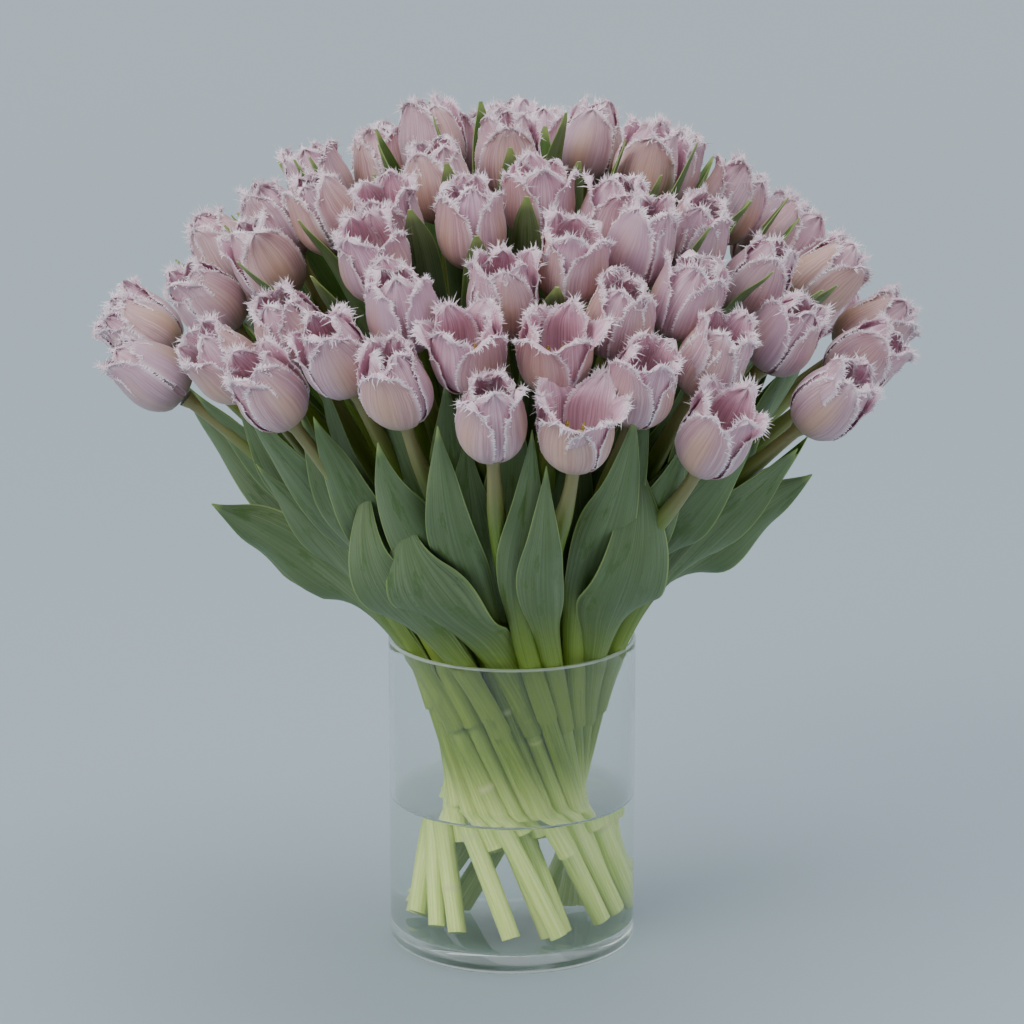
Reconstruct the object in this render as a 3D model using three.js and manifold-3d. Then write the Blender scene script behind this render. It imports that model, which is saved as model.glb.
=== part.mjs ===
// A full bunch of fringed tulips standing in a straight clear glass vase with water in it.
// Millimetres, +Z up. The origin is on the vase's axis, at the surface that it stands on.
// An azimuth is seen from above: 0 is the front (-Y) and 90 the right (+X). A tilt is measured from upright.

import * as THREE from 'three';
import { mergeVertices } from 'three/addons/utils/BufferGeometryUtils.js';
import Module from 'manifold-3d';

const wasm = await Module();
wasm.setup();

// The glass: a straight tube with a thick floor, a rounded foot and a rounded rim.
const GLASS = { radius: 75, height: 193, wall: 3, floor: 12, footRound: 6, sides: 32 };
const WATER = { height: 91, gap: 0.3 };

// The blooms lie over a dome, and each one is a cup of three outer and three inner petals.
const DOME = { centreHeight: 217, radius: 276, uneven: 6 };
// How far a bloom leans out of upright, as a share of its tilt, and how far it turns to the sides.
const LEAN = { least: 0.42, sideMore: 0.6, power: 1.5, sideTurn: 15, stray: 3, turnStray: 6 };
const BLOOM = { length: 57, lengthStray: 0.05, belly: 20.2, openMore: 3, clear: 1, twinReach: 19.4, below: 0.48 };

const PETAL = { thick: 1.5 };

// The stems spiral through a waist inside the vase and fan out above the rim.
const STEM = { radius: 5.3, sides: 4, steps: 4, neckGap: 0.3, holeGap: 0.4 };
const WAIST = { height: 99, radius: 43, spacing: 10.1, squeeze: 0.995, twist: 0.0113, swirl: 62, domeTilt: 60 };
const SWEEP = { from: 184, rise: 0.36, droop: 0.2 };

// Leaves: a blade with a keel along its middle, cupped round the stems, its edges waved.
const BLADE = { thick: 1.6, stations: [0.2, 0.44, 0.66, 0.86], breadth: [0.32, 0.9, 1, 0.62], cup: 0.2, wave: 2 };
const BLADE_SPINE = { rise: 0.5, droop: 0.3 };
const GAP_LEAF = { count: 26, width: 20, apart: 54, clear: 31, reach: 277, rootShare: 0.36 };
const OUTER_LEAF = { leastTilt: 48, rootHeight: 150, rootStray: 7, lift: 6 };

// Blooms that stand alone, read from the front and closed by rings behind: [azimuth, tilt, opening].
const SINGLE_BLOOMS = [
  [-70, 55, 0.2], [-51, 50, 0.3], [-37, 52, 0.3], [-17, 49, 0.2], [-4, 51, 0.4],
  [9, 54, 1], [30, 53, 0.8], [51, 56, 0.35], [67, 53, 0.3],
  [-28, 47, 0.4], [-8, 46, 0.8], [8, 45, 0.8], [21, 50, 0.5], [52, 46, 0.3],
  [-68, 43, 0.3], [-42, 44, 0.25], [-20, 41, 0.3], [87, 43, 0.2],
  [-99, 40, 0.2], [-62, 36, 0.3], [-2, 36, 0.4], [19, 39, 0.3], [56, 37, 0.3], [101, 38, 0.2],
  [-82, 31, 0.2], [-57, 28, 0.3], [14, 33, 0.5], [49, 31, 0.3], [106, 30, 0.3],
  [-110, 25, 0.3], [-12, 24, 0.3], [113, 23, 0.4],
  [18, 19, 0.5], [-122, 18, 0.3], [83, 17, 0.3],
  [-40, 14, 0.3], [-7, 4, 0.3],
  [143, 29, 0.3], [180, 30, 0.2], [216, 29, 0.35], [180, 17, 0.3], [160, 43, 0.2], [197, 43, 0.3], [234, 43, 0.3],
];

// Blooms that press against a neighbour: [azimuth, tilt, bearing of the pair across the dome, opening].
const TWIN_BLOOMS = [
  [33, 44, 0, 0.4], [32, 26, 15, 0.3], [-34, 29, 20, 0.5], [143, 11, 80, 0.3], [-140, 13, 80, 0.2],
  [96, 54, 70, 0.2], [129, 55, 110, 0.3], [162, 54, 75, 0.2], [196, 55, 105, 0.3], [230, 54, 80, 0.2], [262, 55, 100, 0.3],
  [120, 42, 60, 0.3],
];

// Large outer leaves of the front: [tip azimuth, tip radius, tip height, width, lean of the tip, roll of the blade].
const FRONT_LEAVES = [
  [-74, 184, 290, 50, 70, 58], [-59, 172, 323, 30, 50, 30], [-31, 150, 311, 40, 15, 10], [-22, 148, 297, 56, 26, 0],
  [6, 160, 346, 27, 22, 10], [18, 196, 378, 32, 32, -10], [24, 152, 316, 50, 12, -10], [32, 176, 346, 32, 40, -30],
  [52, 180, 344, 38, 48, -40], [64, 184, 328, 38, 56, -50], [78, 181, 305, 50, 62, -62],
  [-84, 196, 356, 42, 40, 62], [-62, 180, 362, 36, 38, 45], [-40, 184, 364, 38, 36, 30], [-9, 166, 356, 36, 26, 10],
];
const BACK_LEAVES = { count: 12, from: 98, to: 262, radius: 178, height: 319, width: 40, lean: 48, roll: 45 };

const GLASS_SKIN = new THREE.MeshStandardMaterial({ color: 0xdfe8e6, roughness: 0.04, metalness: 0, transparent: true, opacity: 0.3 });
const WATER_SKIN = new THREE.MeshStandardMaterial({ color: 0xcfdcd4, roughness: 0.03, metalness: 0, transparent: true, opacity: 0.35 });
const GREEN_SKIN = new THREE.MeshStandardMaterial({ color: 0x5f7a55, roughness: 0.55, metalness: 0 });
const PETAL_SKIN = new THREE.MeshStandardMaterial({ color: 0xbb9eae, roughness: 0.6, metalness: 0, side: THREE.DoubleSide });

const SHORTEST_EDGE = 0.05;

const radians = THREE.MathUtils.degToRad;

// A unit vector that leans from upright towards an azimuth.
function heading(azimuth, tilt) {
  const a = radians(azimuth);
  const t = radians(tilt);
  return new THREE.Vector3(Math.sin(a) * Math.sin(t), -Math.cos(a) * Math.sin(t), Math.cos(t));
}

// A fixed stray value between -1 and 1 for each number n.
function stray(n) {
  const s = Math.sin(n * 12.9898 + 4.1) * 43758.5453;
  return 2 * (s - Math.floor(s)) - 1;
}

// A closed geometry as a solid that can be joined and cut.
function solidOf(geometry) {
  const bare = geometry.clone();
  bare.deleteAttribute('normal');
  bare.deleteAttribute('uv');
  const merged = mergeVertices(bare, 1e-4);
  const triVerts = new Uint32Array(merged.index.array);
  const vertProperties = merged.attributes.position.array;
  return new wasm.Manifold(new wasm.Mesh({ numProp: 3, vertProperties, triVerts }));
}

// Solids joined into one body. Hollows that joining seals are filled, and edges shorter than a hair's breadth go.
function joined(solids) {
  const bodies = wasm.Manifold.union(solids).decompose();
  return bodies.reduce((most, body) => (body.volume() > most.volume() ? body : most)).simplify(SHORTEST_EDGE);
}

function meshOf(name, solid, material) {
  const { vertProperties, triVerts } = solid.getMesh();
  const geometry = new THREE.BufferGeometry();
  geometry.setAttribute('position', new THREE.BufferAttribute(vertProperties, 3));
  geometry.setIndex(new THREE.BufferAttribute(triVerts, 1));
  const flat = geometry.toNonIndexed();
  flat.computeVertexNormals();
  const mesh = new THREE.Mesh(flat, material);
  mesh.name = name;
  return mesh;
}

// Every bloom's place on the dome and its frame. A twin turns the back of a petal to its neighbour.
function placedBlooms() {
  const spots = [];
  const add = (name, direction, opening, twin) => {
    const reach = DOME.radius + DOME.uneven * stray(spots.length);
    spots.push({ name, opening, twin, reach, place: direction.clone().setLength(reach) });
  };
  SINGLE_BLOOMS.forEach(([azimuth, tilt, opening], i) => {
    add(`bloom_${i + 1}`, heading(azimuth, tilt), opening, -1);
  });
  TWIN_BLOOMS.forEach(([azimuth, tilt, bearing, opening], i) => {
    const middle = heading(azimuth, tilt).multiplyScalar(DOME.radius);
    const down = heading(azimuth, tilt + 90);
    const across = heading(azimuth + 90, 90);
    const aside = down.multiplyScalar(Math.cos(radians(bearing))).addScaledVector(across, Math.sin(radians(bearing)));
    const first = spots.length;
    add(`twin_blooms_${i + 1}`, middle.clone().addScaledVector(aside, BLOOM.twinReach), opening, first + 1);
    add(`twin_blooms_${i + 1}`, middle.clone().addScaledVector(aside, -BLOOM.twinReach), opening, first);
  });
  spreadBlooms(spots);
  const frames = spots.map(bloomFrame);
  frames.filter((frame) => frame.twin >= 0).forEach((frame) => {
    frame.facing = frames[frame.twin].place.clone().sub(frame.place);
  });
  return frames;
}

// The way that a bloom points: those of the front and back stand up, those of the sides lean out.
function bloomAxis(place, i) {
  const tilt = THREE.MathUtils.radToDeg(Math.acos(place.z / place.length()));
  const azimuth = THREE.MathUtils.radToDeg(Math.atan2(place.x, -place.y));
  const sideways = Math.abs(Math.sin(radians(azimuth)));
  const lean = tilt * (LEAN.least + LEAN.sideMore * Math.pow(sideways, LEAN.power)) + LEAN.stray * stray(i + 100);
  const turn = LEAN.sideTurn * Math.sin(radians(2 * azimuth)) + LEAN.turnStray * stray(i + 200);
  return heading(azimuth + turn, lean);
}

// How far a bloom reaches from its middle in a direction.
function girth(spot, direction) {
  const along = spot.axis.dot(direction);
  const belly = BLOOM.belly + BLOOM.openMore * spot.opening;
  return Math.hypot(BLOOM.length / 2 * along, belly * Math.sqrt(1 - along * along));
}

// Pushes crowded blooms apart over the dome, and keeps each twin pressed to its neighbour.
function spreadBlooms(spots) {
  for (let round = 0; round < 80; round++) {
    spots.forEach((spot, i) => {
      spot.place.setLength(spot.reach);
      spot.axis = bloomAxis(spot.place, i);
    });
    for (let i = 0; i < spots.length; i++) {
      for (let j = i + 1; j < spots.length; j++) {
        const a = spots[i];
        const b = spots[j];
        const between = b.place.clone().sub(a.place);
        const apart = between.length();
        between.normalize();
        const roomy = girth(a, between) + girth(b, between) + BLOOM.clear;
        const wanted = a.twin === j ? 2 * BLOOM.twinReach : Math.max(roomy, apart);
        a.place.addScaledVector(between, (apart - wanted) / 2);
        b.place.addScaledVector(between, (wanted - apart) / 2);
      }
    }
  }
}

// A bloom's base is on its axis, below its middle.
function bloomFrame(spot, i) {
  const tilt = THREE.MathUtils.radToDeg(Math.acos(spot.place.z / spot.place.length()));
  const azimuth = THREE.MathUtils.radToDeg(Math.atan2(spot.place.x, -spot.place.y));
  const length = BLOOM.length * (1 + BLOOM.lengthStray * stray(i + 300));
  const centre = spot.place.clone().add(new THREE.Vector3(0, 0, DOME.centreHeight));
  const base = centre.clone().addScaledVector(spot.axis, -BLOOM.below * length);
  return { ...spot, tilt, azimuth, length, base, facing: heading(azimuth + 60 * stray(i + 400), 90) };
}

// Where every stem passes the waist: the dome's layout drawn small, turned back by the swirl, then packed.
function waistSpots(blooms) {
  const spots = blooms.map(({ azimuth, tilt }) => {
    const out = WAIST.radius * Math.sin(radians(tilt / 2)) / Math.sin(radians(WAIST.domeTilt / 2));
    const flat = heading(azimuth + WAIST.swirl, 90);
    return new THREE.Vector2(flat.x, flat.y).multiplyScalar(out);
  });
  for (let round = 0; round < 120; round++) {
    for (let i = 0; i < spots.length; i++) {
      for (let j = i + 1; j < spots.length; j++) {
        const between = spots[j].clone().sub(spots[i]);
        const apart = between.length();
        const push = between.multiplyScalar(Math.max(0, WAIST.spacing - apart) / 2 / apart);
        spots[i].sub(push);
        spots[j].add(push);
      }
    }
    spots.forEach((spot) => spot.multiplyScalar(WAIST.squeeze));
  }
  return spots;
}

// A stem's middle at a height of its straight stretch, which turns round the axis as it rises.
function straightPoint(waist, height) {
  const turn = WAIST.twist * (height - WAIST.height);
  return new THREE.Vector3(waist.x + turn * waist.y, waist.y - turn * waist.x, height);
}

// A curve whose steps fall evenly on its own parameter.
class EvenCurve extends THREE.Curve {
  getPointAt(u, target) {
    return this.getPoint(u, target);
  }
  getTangentAt(u, target) {
    return this.getTangent(u, target);
  }
}

// From the cut foot straight up past the rim in the first step, then a sweep out to the bloom.
class StemPath extends EvenCurve {
  constructor(waist, bloom) {
    super();
    const top = straightPoint(waist, SWEEP.from);
    const rise = straightPoint(waist, SWEEP.from + 1).sub(top).normalize();
    const dip = STEM.radius * Math.sqrt(1 - rise.z * rise.z);
    const foot = straightPoint(waist, GLASS.floor + WATER.gap + dip);
    const neck = bloom.base.clone().addScaledVector(bloom.axis, -STEM.neckGap);
    const span = neck.distanceTo(top);
    this.straight = new THREE.LineCurve3(foot, top);
    this.sweep = new THREE.CubicBezierCurve3(
      top,
      top.clone().addScaledVector(rise, SWEEP.rise * span),
      neck.clone().addScaledVector(bloom.axis, -SWEEP.droop * span),
      neck,
    );
    this.share = 1 / STEM.steps;
  }
  getPoint(t, target = new THREE.Vector3()) {
    if (t < this.share) {
      return this.straight.getPoint(t / this.share, target);
    }
    return this.sweep.getPoint((t - this.share) / (1 - this.share), target);
  }
}

function tube(path, radius, steps) {
  const ring = [];
  for (let k = 0; k < STEM.sides; k++) {
    const a = 2 * Math.PI * k / STEM.sides;
    ring.push(new THREE.Vector2(radius * Math.cos(a), radius * Math.sin(a)));
  }
  const section = new THREE.Shape(ring);
  return new THREE.ExtrudeGeometry(section, { steps, bevelEnabled: false, extrudePath: path });
}

// A surface built from named corners and triangles.
function closedShell(points, faces) {
  const geometry = new THREE.BufferGeometry();
  geometry.setAttribute('position', new THREE.Float32BufferAttribute(points.flatMap((p) => p.toArray()), 3));
  geometry.setIndex(faces.flat());
  return geometry;
}

// A leaf: rows of left edge, outer keel, right edge and inner keel between a sunk root and a pointed tip.
// It lifts clear of the stems on the way, and rolls about its own length towards the tip.
function leafBlade(root, rise, tip, reachOut, width, lift, roll, n) {
  const span = tip.distanceTo(root);
  const spine = new THREE.CubicBezierCurve3(
    root,
    root.clone().addScaledVector(rise, BLADE_SPINE.rise * span),
    tip.clone().addScaledVector(reachOut, -BLADE_SPINE.droop * span),
    tip,
  );
  const points = [root];
  const faces = [];
  const quad = (a, b, c, d) => faces.push([a, b, c], [a, c, d]);
  BLADE.stations.forEach((t, row) => {
    const middle = spine.getPoint(t);
    const along = spine.getTangent(t);
    const side = new THREE.Vector3(-middle.y, middle.x, 0).cross(along).cross(along).normalize();
    const out = along.clone().cross(side).normalize();
    const half = width / 2 * BLADE.breadth[row];
    const fold = BLADE.cup * half;
    const wave = BLADE.wave * stray(n * 7 + row) * BLADE.breadth[row];
    const bent = middle.clone().addScaledVector(out, lift * Math.sin(Math.PI * t * t));
    const turn = radians(roll) * THREE.MathUtils.smoothstep(t, 0.2, 0.66);
    side.applyAxisAngle(along, turn);
    out.applyAxisAngle(along, turn);
    points.push(bent.clone().addScaledVector(side, half).addScaledVector(out, wave - fold));
    points.push(bent.clone().addScaledVector(out, BLADE.thick / 2));
    points.push(bent.clone().addScaledVector(side, -half).addScaledVector(out, -wave - fold));
    points.push(bent.clone().addScaledVector(out, -BLADE.thick / 2));
  });
  points.push(tip);
  const last = points.length - 1;
  for (let k = 0; k < 4; k++) {
    const next = (k + 1) % 4;
    faces.push([0, 1 + next, 1 + k]);
    for (let row = 0; row < BLADE.stations.length - 1; row++) {
      const low = 1 + 4 * row;
      const ring = [low + k, low + next, low + 4 + next, low + 4 + k];
      // The outer and the inner face are split along the same diagonals, so a rolled blade stays thick.
      if (k < 2) {
        quad(...ring);
      } else {
        quad(ring[1], ring[2], ring[3], ring[0]);
      }
    }
    faces.push([last - 4 + k, last - 4 + next, last]);
  }
  return solidOf(closedShell(points, faces));
}

// The stem whose bloom lies nearest to a tip carries that leaf.
function nearestStem(blooms, tip, leastTilt) {
  const distance = (bloom) => (bloom.tilt < leastTilt ? Infinity : bloom.base.distanceTo(tip));
  return blooms.reduce((best, bloom, i) => (distance(bloom) < distance(blooms[best]) ? i : best), 0);
}

// The large leaves round the outside, those of the front by eye and those of the back in an even row.
function outerLeaves(blooms, waists) {
  const rows = [...FRONT_LEAVES];
  for (let k = 0; k < BACK_LEAVES.count; k++) {
    const azimuth = BACK_LEAVES.from + (BACK_LEAVES.to - BACK_LEAVES.from) * k / (BACK_LEAVES.count - 1);
    const high = k % 2;
    rows.push([
      azimuth,
      BACK_LEAVES.radius + 6 * stray(k + 500),
      BACK_LEAVES.height + 40 * high - 12 * stray(k + 510),
      BACK_LEAVES.width + 8 * stray(k + 520),
      BACK_LEAVES.lean - 12 * high + 10 * stray(k + 530),
      BACK_LEAVES.roll * stray(k + 540),
    ]);
  }
  return rows.map(([azimuth, radius, height, width, lean, roll], k) => {
    const tip = heading(azimuth, 90).multiplyScalar(radius);
    tip.z = height;
    const reachOut = heading(azimuth, lean);
    const stem = nearestStem(blooms, tip, OUTER_LEAF.leastTilt);
    const rootHeight = OUTER_LEAF.rootHeight + OUTER_LEAF.rootStray * stray(k + 600);
    const root = straightPoint(waists[stem], rootHeight);
    const rise = straightPoint(waists[stem], rootHeight + 1).sub(root).normalize();
    return leafBlade(root, rise, tip, reachOut, width, OUTER_LEAF.lift, roll, k);
  });
}

// Slim leaves whose tips stand in the gaps between the blooms.
function gapLeaves(blooms, paths) {
  const tips = [];
  const middle = new THREE.Vector3(0, 0, DOME.centreHeight);
  for (let tilt = 6; tilt < 58; tilt += 2) {
    for (let azimuth = 0; azimuth < 360; azimuth += 4) {
      const way = heading(azimuth, tilt);
      const spot = middle.clone().addScaledVector(way, GAP_LEAF.reach);
      const free = blooms.every((bloom) => {
        const centre = bloom.base.clone().addScaledVector(bloom.axis, BLOOM.below * bloom.length);
        return centre.distanceTo(spot) > GAP_LEAF.clear;
      });
      const apart = tips.every((other) => other.spot.distanceTo(spot) > GAP_LEAF.apart);
      if (free && apart && tips.length < GAP_LEAF.count) {
        tips.push({ spot, way });
      }
    }
  }
  return tips.map(({ spot, way }, k) => {
    const path = paths[nearestStem(blooms, spot, 0)];
    const root = path.getPoint(GAP_LEAF.rootShare);
    const rise = path.getTangent(GAP_LEAF.rootShare);
    return leafBlade(root, rise, spot, way, GAP_LEAF.width, 0, 0, k + 40);
  });
}

// One petal's corners, from its root on the ring round to its toothed top. grow is the layer's radius share.
function petalRows(frame, angle, grow) {
  const { length, opening } = frame;
  const at = (turn, radius, share) => {
    const a = radians(angle + turn);
    return new THREE.Vector3(radius * Math.cos(a), radius * Math.sin(a), share * length);
  };
  const belly = (BLOOM.belly + opening) * grow;
  const shoulder = (BLOOM.belly - 2.5 + 4.5 * opening) * grow;
  const lip = (BLOOM.belly - 6 + 9 * opening) * grow;
  return {
    footOut: at(0, 11.5, 0.07),
    bellyEdges: [at(-47, belly * 0.96, 0.44), at(47, belly * 0.96, 0.44)],
    bellyOut: at(0, belly * 1.02, 0.4),
    bellyIn: at(0, belly * 1.02 - PETAL.thick, 0.42),
    shoulderOut: at(0, shoulder + 1, 0.76),
    shoulderIn: at(0, shoulder + 1 - PETAL.thick, 0.77),
    teeth: [
      at(-39, shoulder + 1.5, 0.86),
      at(-21, lip + 1.5, 0.82),
      at(0, lip, 1),
      at(21, lip + 1.5, 0.82),
      at(39, shoulder + 1.5, 0.86),
    ].filter((_, i) => grow === 1 || i % 2 === 0),
  };
}

// A bloom: outer and inner petals in turn, all rising from one root ring.
function bloomSolid(frame) {
  const points = [new THREE.Vector3(0, 0, 0), new THREE.Vector3(0, 0, 0.14 * frame.length)];
  const faces = [];
  for (let k = 0; k < 6; k++) {
    const a = radians(60 * k - 30);
    points.push(new THREE.Vector3(8 * Math.cos(a), 8 * Math.sin(a), 0.1 * frame.length));
  }
  for (let k = 0; k < 6; k++) {
    const rows = petalRows(frame, 60 * k, k % 2 ? 0.8 : 1);
    const left = 2 + k;
    const right = 2 + (k + 1) % 6;
    const bellyLeft = points.push(rows.bellyEdges[0]) - 1;
    const bellyRight = points.push(rows.bellyEdges[1]) - 1;
    const bellyOut = points.push(rows.bellyOut) - 1;
    const shoulder = points.push(rows.shoulderOut) - 1;
    const shoulderIn = points.push(rows.shoulderIn) - 1;
    const teeth = rows.teeth.map((tooth) => points.push(tooth) - 1);
    const first = teeth[0];
    const last = teeth[teeth.length - 1];
    // The back of an outer petal is rounded at its foot, and its inner face is bent at the belly like its back.
    // An inner petal's back runs straight up to its belly, and its inner face straight up to its shoulder.
    let lowIn = shoulderIn;
    if (k % 2) {
      faces.push([0, bellyOut, left], [0, right, bellyOut]);
    } else {
      const foot = points.push(rows.footOut) - 1;
      lowIn = points.push(rows.bellyIn) - 1;
      faces.push([0, foot, left], [0, right, foot], [left, foot, bellyOut], [foot, right, bellyOut]);
      faces.push([bellyLeft, shoulderIn, lowIn], [bellyRight, lowIn, shoulderIn]);
    }
    faces.push([left, bellyOut, bellyLeft], [right, bellyRight, bellyOut]);
    faces.push([bellyLeft, bellyOut, shoulder], [bellyLeft, shoulder, first]);
    faces.push([bellyOut, bellyRight, shoulder], [shoulder, bellyRight, last]);
    faces.push([1, left, lowIn], [1, lowIn, right]);
    faces.push([left, bellyLeft, lowIn], [right, lowIn, bellyRight]);
    faces.push([bellyLeft, first, shoulderIn], [bellyRight, shoulderIn, last]);
    teeth.slice(1).forEach((tooth, i) => {
      faces.push([shoulder, tooth, teeth[i]], [shoulderIn, teeth[i], tooth]);
    });
  }
  const across = new THREE.Vector3().crossVectors(frame.axis, frame.facing).normalize();
  const ahead = new THREE.Vector3().crossVectors(across, frame.axis);
  const upright = new THREE.Matrix4().makeBasis(ahead, across, frame.axis).setPosition(frame.base);
  return solidOf(closedShell(points, faces).applyMatrix4(upright));
}

// A quarter round of a turned profile, from one angle to another.
function quarter(x, y, radius, from, to, steps) {
  const arc = [];
  for (let k = 0; k <= steps; k++) {
    const a = radians(from + (to - from) * k / steps);
    arc.push(new THREE.Vector2(x + radius * Math.cos(a), y + radius * Math.sin(a)));
  }
  return arc;
}

function vaseSolid() {
  const { radius, height, wall, floor, footRound, sides } = GLASS;
  const profile = [
    new THREE.Vector2(0, 0),
    ...quarter(radius - footRound, footRound, footRound, -90, 0, 2),
    ...quarter(radius - wall / 2, height - wall / 2, wall / 2, 0, 180, 3),
    new THREE.Vector2(radius - wall, floor),
    new THREE.Vector2(0, floor),
  ];
  const lathe = new THREE.LatheGeometry(profile, sides);
  return solidOf(lathe.rotateX(Math.PI / 2));
}

// The water fills the vase to its level, with a plain hole for each stem.
function waterSolid(paths) {
  const inner = GLASS.radius - GLASS.wall - WATER.gap;
  const bottom = GLASS.floor + WATER.gap;
  const profile = [
    new THREE.Vector2(0, bottom),
    new THREE.Vector2(inner, bottom),
    new THREE.Vector2(inner, WATER.height),
    new THREE.Vector2(0, WATER.height),
  ];
  const body = solidOf(new THREE.LatheGeometry(profile, GLASS.sides).rotateX(Math.PI / 2));
  const holes = paths.map((path) => {
    const foot = path.straight.v1;
    const top = path.straight.v2;
    const below = foot.clone().addScaledVector(top.clone().sub(foot).normalize(), -9);
    return solidOf(tube(new THREE.LineCurve3(below, top), STEM.radius + STEM.holeGap, 1));
  });
  return body.subtract(wasm.Manifold.union(holes));
}

const blooms = placedBlooms();
const waists = waistSpots(blooms);
const paths = blooms.map((bloom, i) => new StemPath(waists[i], bloom));
const stems = paths.map((path) => solidOf(tube(path, STEM.radius, STEM.steps)));
const leaves = [...outerLeaves(blooms, waists), ...gapLeaves(blooms, paths)];

const tulips = new THREE.Group();
tulips.add(meshOf('vase', vaseSolid(), GLASS_SKIN));
tulips.add(meshOf('water', waterSolid(paths), WATER_SKIN));
tulips.add(meshOf('stems_and_leaves', joined([...stems, ...leaves]), GREEN_SKIN));
for (const name of new Set(blooms.map((bloom) => bloom.name))) {
  const cups = blooms.filter((bloom) => bloom.name === name).map(bloomSolid);
  tulips.add(meshOf(name, joined(cups), PETAL_SKIN));
}

export default tulips;
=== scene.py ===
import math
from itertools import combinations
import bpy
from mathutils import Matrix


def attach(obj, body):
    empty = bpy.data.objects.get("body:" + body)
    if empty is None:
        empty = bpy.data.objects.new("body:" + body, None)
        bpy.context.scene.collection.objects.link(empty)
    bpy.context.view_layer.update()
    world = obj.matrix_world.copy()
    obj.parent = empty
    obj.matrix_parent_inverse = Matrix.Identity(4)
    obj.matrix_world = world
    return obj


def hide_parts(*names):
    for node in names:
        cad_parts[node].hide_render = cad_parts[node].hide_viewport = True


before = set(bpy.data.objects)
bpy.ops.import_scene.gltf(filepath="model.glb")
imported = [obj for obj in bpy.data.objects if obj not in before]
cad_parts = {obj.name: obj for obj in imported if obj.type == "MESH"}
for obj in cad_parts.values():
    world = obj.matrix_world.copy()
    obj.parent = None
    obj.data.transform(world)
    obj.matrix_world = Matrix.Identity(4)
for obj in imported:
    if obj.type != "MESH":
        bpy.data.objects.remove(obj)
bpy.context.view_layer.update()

# A full bunch of fringed tulips in a straight clear glass vase with water in it.
# Places are worked out in millimetres, +Z up, and put into the meshes in metres.
# An azimuth is seen from above: 0 is the front (-Y) and 90 the right (+X). A tilt is measured from upright.

from types import SimpleNamespace as Values

import bpy
import numpy as np
from numpy import (arange, array, clip, concatenate, cos, cross, exp, full, linspace,
                   maximum, ones, pi, radians, repeat, sin, tile, where, zeros)

MM = 0.001

# --- sizes and places. A pair of numbers is a middle value and how far it strays.

GLASS = Values(radius=75, height=193, wall=3, floor=12, foot_round=6, heel_round=5, rim_band=1.6, sides=160)
HOLLOW = Values(depth=1.8, flat=52, edge=64)
WATER = Values(height=91, overlap=0.12, wall_rise=3.4, wall_fade=2.3, stem_rise=1.6, stem_fade=1.1, sides=192)

DOME = Values(centre_height=217, radius=276, uneven=6, rounds=80)
LEAN = Values(least=0.42, side_more=0.6, power=1.5, side_turn=15, stray=3, turn_stray=6)
BLOOM = Values(length=57, length_stray=0.05, belly=20.2, open_more=3, clear=1, twin_reach=19.4, below=0.48,
               turn_stray=60, first_seed=4000)

STEM = Values(radius=5.3, radius_stray=0.05, neck=3.7, cup=1.6, sides=14, foot_gap=0.3, neck_gap=0.3,
              rings=((78, 42), (150, 26)), ring_swell=0.35, ring_width=1.4)
WAIST = Values(height=99, radius=43, spacing=10.1, squeeze=0.995, twist=0.0113, swirl=62, dome_tilt=60, rounds=120)
SWEEP = Values(start=184, rise=0.36, droop=0.2, share=0.25)

BLADE_SPINE = Values(rise=0.5, droop=0.3)
GAP_LEAF = Values(count=59, tilts=range(6, 47, 2), width=25, apart=35, clear=28.5, reach=277, root_share=0.36,
                  beyond=24, beyond_share=(0.75, 0.45), roll=20)
OUTER_LEAF = Values(least_tilt=48, root=(150, 7))

# Blooms that stand alone, read from the front and closed by rings behind: azimuth, tilt, opening.
SINGLE_BLOOMS = [
    (-70, 55, 0.2), (-51, 50, 0.3), (-37, 52, 0.3), (-17, 49, 0.2), (-4, 51, 0.4),
    (9, 54, 1), (30, 53, 0.8), (51, 56, 0.35), (67, 53, 0.3),
    (-28, 47, 0.4), (-8, 46, 0.8), (8, 45, 0.8), (21, 50, 0.5), (52, 46, 0.3),
    (-68, 43, 0.3), (-42, 44, 0.25), (-20, 41, 0.3), (87, 43, 0.2),
    (-99, 40, 0.2), (-62, 36, 0.3), (-2, 36, 0.4), (19, 39, 0.3), (56, 37, 0.3), (101, 38, 0.2),
    (-82, 31, 0.2), (-57, 28, 0.3), (14, 33, 0.5), (49, 31, 0.3), (106, 30, 0.3),
    (-110, 25, 0.3), (-12, 24, 0.3), (113, 23, 0.4),
    (18, 19, 0.5), (-122, 18, 0.3), (83, 17, 0.3),
    (-40, 14, 0.3), (-7, 4, 0.3),
    (143, 29, 0.3), (180, 30, 0.2), (216, 29, 0.35), (180, 17, 0.3), (160, 43, 0.2), (197, 43, 0.3), (234, 43, 0.3),
]

# Blooms that press against a neighbour: azimuth, tilt, bearing of the pair across the dome, opening.
TWIN_BLOOMS = [
    (33, 44, 0, 0.4), (32, 26, 15, 0.3), (-34, 29, 20, 0.5), (143, 11, 80, 0.3), (-140, 13, 80, 0.2),
    (96, 54, 70, 0.2), (129, 55, 110, 0.3), (162, 54, 75, 0.2), (196, 55, 105, 0.3), (230, 54, 80, 0.2),
    (262, 55, 100, 0.3), (120, 42, 60, 0.3),
]

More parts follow.
